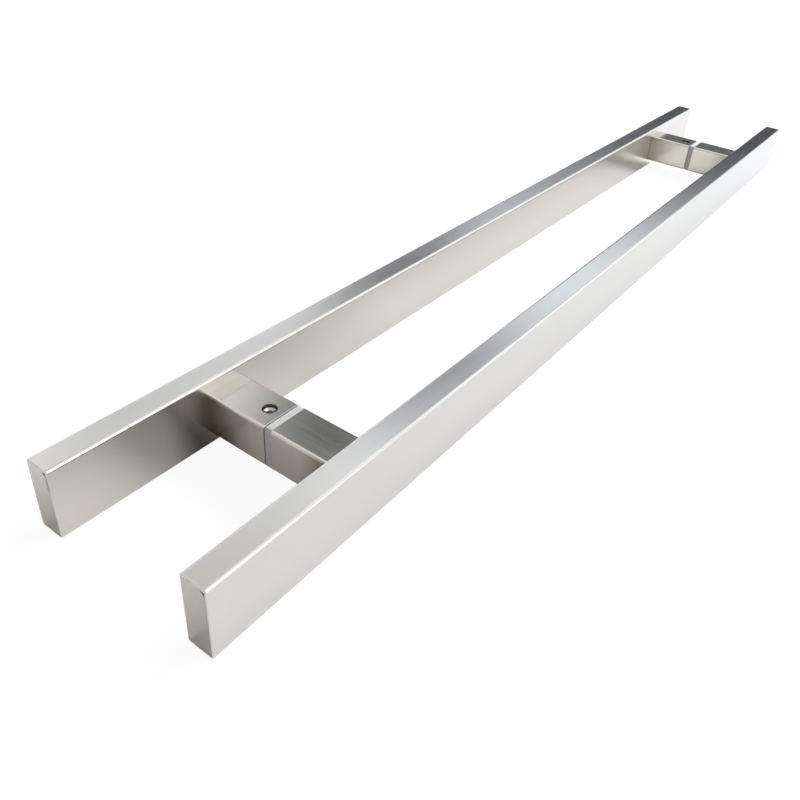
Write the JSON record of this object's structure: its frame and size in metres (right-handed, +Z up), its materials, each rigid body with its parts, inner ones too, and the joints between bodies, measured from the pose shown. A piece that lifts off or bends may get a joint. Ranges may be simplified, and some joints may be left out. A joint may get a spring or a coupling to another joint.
{
  "type": "back-to-back flat bar door pull handle",
  "caption": "Back-to-back flat bar door pull: rectangular satin steel bars held apart by split square standoffs with set screws, studs and plastic door washers.",
  "frame": {"origin": "under the middle of the pair, on the surface that the two bars lie on", "axes": "+Y along the bars from the near end to the far end, +Z up across the bars' height, +X from the set screw side to the threaded side"},
  "size_m": [0.1148, 0.8, 0.04],
  "materials": {
    "satin_steel": "satin stainless, brushed along the bar",
    "standoff_steel": "satin stainless, brushed along the standoff",
    "machined_steel": "turned and tapped, plain",
    "screw_steel": "stainless, smooth",
    "washer_plastic": "milky white plastic, slightly translucent"
  },
  "bodies": {
    "root": {"back_bar": "satin_steel", "back_bar_near_cap": "satin_steel", "back_bar_far_cap": "satin_steel", "front_bar": "satin_steel", "front_bar_near_cap": "satin_steel", "front_bar_far_cap": "satin_steel", "back_near_standoff": "standoff_steel", "back_far_standoff": "standoff_steel", "front_near_standoff": "standoff_steel", "front_far_standoff": "standoff_steel", "near_threaded_plug": "machined_steel", "far_threaded_plug": "machined_steel", "near_stud": "machined_steel", "far_stud": "machined_steel", "near_fixing_block": "machined_steel", "far_fixing_block": "machined_steel", "near_back_washer": "washer_plastic", "far_back_washer": "washer_plastic", "near_front_washer": "washer_plastic", "far_front_washer": "washer_plastic", "near_set_screw": "screw_steel", "far_set_screw": "screw_steel"}
  },
  "joints": []
}
